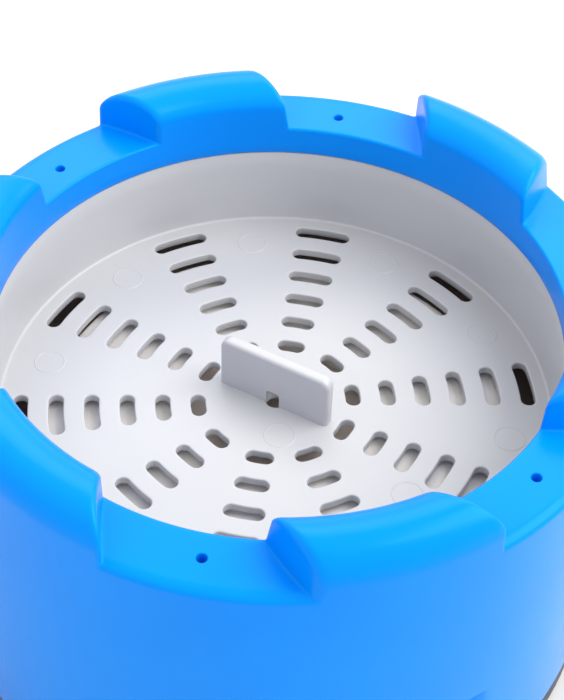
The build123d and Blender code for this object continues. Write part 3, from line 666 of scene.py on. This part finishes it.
def add_key(bm):
    """The upright plate across the dish: a rounded panel with soft edges, its foot in the floor."""
    length, thickness, height, corner, soft = 39.9, 4.4, 19.5, 3.2, 1.3
    heading = -36
    base = FLOOR_Z - 0.6

    def outline(inset):
        half, top, r = length / 2 - inset, FLOOR_Z + height - inset, max(0.4, corner - inset)
        points = [(-half, base), (-half, FLOOR_Z + 4), (-half, FLOOR_Z + 10)]
        points += [(-half + r * (1 - c), top - r * (1 - s)) for c, s in quarter(8)]
        points += [(x, top) for x in (-10, 0, 10)]
        points += [(half - r * (1 - s), top - r * (1 - c)) for c, s in quarter(8)]
        points += [(half, FLOOR_Z + 10), (half, FLOOR_Z + 4), (half, base)]
        return points

    direction, aside = polar(1, heading), polar(1, heading + 90)
    depths = [(-thickness / 2 + soft * (1 - s), soft * (1 - c)) for c, s in reversed(quarter(6))]
    sections = depths + [(-d, i) for d, i in reversed(depths)]
    rows = []
    for depth, inset in sections:
        rows.append([direction * x + aside * depth + Vector((0, 0, z)) for x, z in outline(inset)])
    verts = add_grid(bm, rows, wrap_rows=False)
    for row in (verts[0], verts[-1]):
        bm.faces.new(row)


def make_moulding():
    """The dish itself: floor with sixty slots, drain hole, and upright wall with its hidden lip."""
    bm = bmesh.new()
    for ring in range(RINGS):
        for column in range(COLUMNS):
            slot_cell(bm, ring, column)
    segments = COLUMNS * SLOT_ALONG
    inner_r = (FIRST_RING - 0.5) * PITCH  # where the slotted part begins and ends
    edge_r = (FIRST_RING - 0.5 + RINGS) * PITCH
    fillet = 0.9
    lip_in, lip_out, lip_low, lip_top = 93.1, 95.4, 115.9, 121.5  # the lip that the skirt hides
    skin_r = 92.7  # outside of the wall below the lip
    wall = [(edge_r, FLOOR_Z)]
    wall += [(DISH_R - fillet * (1 - s), FLOOR_Z + fillet * (1 - c)) for c, s in quarter(6)]
    wall += [(DISH_R, z) for z in (95, 103, 111)]
    wall += [(DISH_R, SHOULDER_Z - 0.3), (DISH_R + 0.1, SHOULDER_Z - 0.08), (DISH_R + 0.3, SHOULDER_Z)]
    wall += [(lip_in, SHOULDER_Z), (lip_in, lip_top - 0.2), (lip_in + 0.3, lip_top)]
    wall += [(lip_out - 0.3, lip_top), (lip_out, lip_top - 0.2), (lip_out, lip_low), (skin_r, lip_low)]
    wall += [(skin_r, UNDER_Z + 0.5), (skin_r - 0.4, UNDER_Z), (edge_r, UNDER_Z)]
    add_lathe(bm, wall, segments, close=False)
    middle = [(r, FLOOR_Z) for r in (inner_r, 14, 9, 5, DRAIN_R + 0.5)]
    middle += [(DRAIN_R + 0.15, FLOOR_Z - 0.15), (DRAIN_R, FLOOR_Z - 0.5), (DRAIN_R, UNDER_Z + 0.2)]
    middle += [(r, UNDER_Z) for r in (DRAIN_R + 0.2, 8, inner_r)]
    add_lathe(bm, middle, segments, close=False)
    close_seams(bm)
    return make_object("dish_moulding", bm)


def make_key():
    """The upright plate, with the drain's arch cut through its foot."""
    bm = bmesh.new()
    add_key(bm)
    close_seams(bm)
    plate = make_object("dish_key", bm)
    soft, top = 0.8, FLOOR_Z + DRAIN_NOTCH
    outline = [(0, UNDER_Z), (DRAIN_R, UNDER_Z), (DRAIN_R, top - soft)]
    outline += [(DRAIN_R - soft * (1 - c), top - soft + soft * s) for c, s in quarter(4)][1:]
    outline += [(0, top)]
    drill = bmesh.new()
    add_lathe(drill, outline, 40)
    close_seams(drill)
    cut(plate, make_object("drill", drill))
    crease_again(plate)
    return plate


def make_ejector_marks():
    """Plain round marks on the floor, each a thin raised lip round a low disc."""
    size, disc, sunk = 5.4, 0.03, 0.05  # radius, and how far it stands above and below the floor
    lip_r, lip, rise = 4.8, 0.22, 0.13  # the lip's inner radius, width and height
    places = [(6.65 * PITCH, 18 + 36 * i) for i in range(COLUMNS)]  # on the spokes, near the wall
    places += [(15.6, -92), (15.6, 88), (56.9, -50)]
    profile = [(0, FLOOR_Z + disc), (lip_r - 0.15, FLOOR_Z + disc), (lip_r, FLOOR_Z + rise)]
    profile += [(lip_r + lip, FLOOR_Z + rise), (size, FLOOR_Z - sunk), (0, FLOOR_Z - sunk)]
    bm = bmesh.new()
    for r, heading in places:
        spot = polar(r, heading)
        add_lathe(bm, profile, 48, (spot.x, spot.y))
    close_seams(bm)
    return make_object("ejector_marks", bm, crease=10)


def make_dish():
    """The three white pieces that stand for the dish's CAD node."""
    for piece in (make_moulding(), make_key(), make_ejector_marks()):
        settle(piece, "wheel", "white_dish", MATERIALS["white_dish"], "slotted_dish")


# ---------------------------------------------------------------- controls
def facing(centre):
    """Moves a piece modelled along +Z to face out of the control panel, towards -Y, at centre (mm)."""
    return Matrix.Translation(Vector(centre)) @ Matrix.Rotation(math.radians(90), 4, "X")


def make_knob():
    """Fluted grip with a dished face and a pointer line."""
    low, high = box_mm("speed_knob")
    place = facing(((low.x + high.x) / 2, high.y, (low.z + high.z) / 2))
    depth, size = high.y - low.y, (high.x - low.x) / 2
    flutes, flute, bore = 30, 0.35, 3.1
    segments = flutes * 8
    # (radius, distance from the panel, share of a flute's depth)
    profile = [(bore, 0, 0), (size - 0.7, 0, 0), (size - 0.1, 0.5, 0.4), (size - 0.1, 1.6, 1)]
    profile += [(size - 0.5, depth - 2.4, 1), (size - 0.6, depth - 1.8, 0.5)]
    profile += [(size - 0.7 - 1.3 * (1 - c), depth - 1.5 + 1.5 * s, 0) for c, s in quarter(6)]
    profile += [(size - 3.5, depth - 0.15, 0), (6, depth - 0.55, 0), (0.4, depth - 0.7, 0)]
    profile += [(0.4, depth - 3, 0), (bore, depth - 3, 0)]
    turns = [360 * j / segments for j in range(segments)]
    wave = [flute * (1 + math.cos(math.radians(a * flutes))) for a in turns]
    bm = bmesh.new()
    add_grid(bm, [[polar(r - grip * w, a, z) for a, w in zip(turns, wave)] for r, z, grip in profile])
    close_seams(bm)
    bmesh.ops.transform(bm, matrix=place, verts=bm.verts)
    settle(make_object("knob_grip", bm), "knob", "knob_plastic", MATERIALS["knob_plastic"], "speed_knob")
    bar = bmesh.new()
    add_bar(bar, DIAL_FROM, r=size - 5.2, z=depth - 0.75, width=1.5, length=5.6, height=0.55)
    close_seams(bar)
    bmesh.ops.transform(bar, matrix=place, verts=bar.verts)
    settle(make_object("knob_pointer", bar), "knob", "knob_plastic", PRINT)


def add_bar(bm, heading, r, z, width, length, height):
    """A small rounded bar that points away from the axis, at r from it. Heading 0 is up the panel."""
    along, aside = polar(1, 90 - heading), polar(1, -heading)
    half, reach = width / 2, length / 2 - width / 2
    outline = []
    for first, shift in ((0, reach), (180, -reach)):
        for k in range(9):
            turn = math.radians(first + 180 * k / 8)
            outline.append((half * math.cos(turn), shift + half * math.sin(turn)))
    soft = min(0.12, height / 2, half / 2)
    rows = []
    for inset, level in ((0, 0), (0, height - soft), (soft, height)):
        narrow, shorten = 1 - inset / half, 1 - inset / (length / 2)
        up = Vector((0, 0, z + level))
        rows.append([aside * x * narrow + along * (r + y * shorten) + up for x, y in outline])
    verts = add_grid(bm, rows, wrap_rows=False)
    bm.faces.new(verts[0])
    bm.faces.new(verts[-1])


def make_panel_marks():
    """Scale round the knob: a tick every 27 degrees, larger towards full speed."""
    low, high = box_mm("speed_knob")
    panel_y = box_mm("control_panel")[0].y
    bm = bmesh.new()
    for k in range(DIAL_TICKS):
        width, length = 0.5 + 0.06 * k, 1.3 + 0.06 * k
        add_bar(bm, DIAL_FROM + DIAL_STEP * k, r=16.3, z=-0.05, width=width, length=length, height=0.13)
    close_seams(bm)
    place = facing(((low.x + high.x) / 2, panel_y, (low.z + high.z) / 2))
    bmesh.ops.transform(bm, matrix=place, verts=bm.verts)
    settle(make_object("speed_scale", bm), "housing", "grey_panel", PRINT)


def make_rocker_marks():
    """A bar on the rocker's upper half and a ring on its lower half."""
    low, high = box_mm("power_rocker")
    pivot = [v / MM for v in next(j for j in frame["joints"] if j["name"] == "power_tip")["pos_m"]]
    tip, lean = 8.0, 8.2  # the rocker's rest tilt, and how far its two faces lean to each other
    face_off, face_out = 4.2, 2.12  # from the pivot to a face's middle, along the rocker and out of it
    sunk, top = -0.05, 0.07
    rest = facing(((low.x + high.x) / 2, pivot[1], pivot[2]))
    rest = rest @ Matrix.Rotation(math.radians(tip), 4, "X")
    for name, side in (("rocker_bar", 1), ("rocker_ring", -1)):
        bm = bmesh.new()
        if side > 0:
            add_bar(bm, 0, r=0, z=sunk, width=0.8, length=3.0, height=top - sunk)
        else:
            add_lathe(bm, [(1.1, sunk), (1.1, top), (1.6, top), (1.6, sunk)], 40)
        close_seams(bm)
        face = Matrix.Translation((0, side * face_off, face_out))
        face = face @ Matrix.Rotation(math.radians(lean * side), 4, "X")
        bmesh.ops.transform(bm, matrix=rest @ face, verts=bm.verts)
        settle(make_object(name, bm), "rocker", "rocker_plastic", WHITE_PRINT)


# ---------------------------------------------------------------- studio
def studio_paper():
    """Pale paper with painted shade: greyer round the object than far from it, so less light bounces back onto the
    object.
    """
    material, nodes, links, shader = new_material("studio_paper")
    where = nodes.new("ShaderNodeTexCoord")
    away = nodes.new("ShaderNodeVectorMath")
    away.operation = "LENGTH"
    links.new(where.outputs["Object"], away.inputs[0])
    # painted shade: darker paper near the object, brighter paper far from it
    near, far = (0.66, 0.66, 0.665), (0.94, 0.94, 0.94)
    between(nodes, links, away.outputs["Value"], near, far, shader.inputs["Base Color"], blend=(0.3, 0.9))
    between(nodes, links, noise(nodes, links, 14), 0.7, 0.8, shader.inputs["Roughness"])
    add_bump(nodes, links, shader, ((60, 3, 0.05),))
    return material


LIGHTS = (  # name, (azimuth, elevation, metres from the object), (width, height) in metres, radiance
    ("key", (-8, 49, 1.15), (0.9, 0.9), 4.9),
    ("fill", (185, 45, 1.2), (0.8, 0.8), 0.15),
    ("back", (82, 44, 1.3), (1.3, 0.5), 2.3),
)
WORLD_COLOUR, WORLD_STRENGTH = (1.0, 0.995, 1.0, 1), 1.06


def softbox(name, direction, size, radiance):
    """A rectangular light that faces the object."""
    azimuth, elevation, distance = direction
    target = Vector((0, 0, 0.1))
    level, height = (distance * f(math.radians(elevation)) for f in (math.cos, math.sin))
    place = polar(level, azimuth, height) + target
    data = bpy.data.lights.new(name, "AREA")
    data.shape = "RECTANGLE"
    data.size, data.size_y = size
    data.energy = radiance * math.pi * size[0] * size[1]
    lamp = bpy.data.objects.new(name, data)
    lamp.location = place
    lamp.rotation_euler = (target - place).to_track_quat("-Z", "Y").to_euler()
    bpy.context.collection.objects.link(lamp)


def make_studio():
    """Paper floor, even surroundings and three lights."""
    reach, steps = 9000, 12  # half the floor's side in mm, and its divisions
    marks = [-reach + 2 * reach * i / steps for i in range(steps + 1)]
    rows = [[Vector((x, y, 0)) for x in marks] for y in marks]
    bm = bmesh.new()
    add_grid(bm, rows, wrap_rows=False, wrap_columns=False)
    floor = make_object("studio_floor", bm)
    floor.data.materials.append(studio_paper())
    scene = bpy.context.scene
    scene.view_settings.view_transform = "Standard"
    scene.view_settings.look = "None"
    world = bpy.data.worlds.new("studio")
    world.use_nodes = True
    background = world.node_tree.nodes["Background"]
    background.inputs["Color"].default_value = WORLD_COLOUR
    background.inputs["Strength"].default_value = WORLD_STRENGTH
    scene.world = world
    for light in LIGHTS:
        softbox(*light)


make_housing()
make_dish()
make_knob()
make_panel_marks()
make_rocker_marks()
dress_cad_nodes()
make_studio()
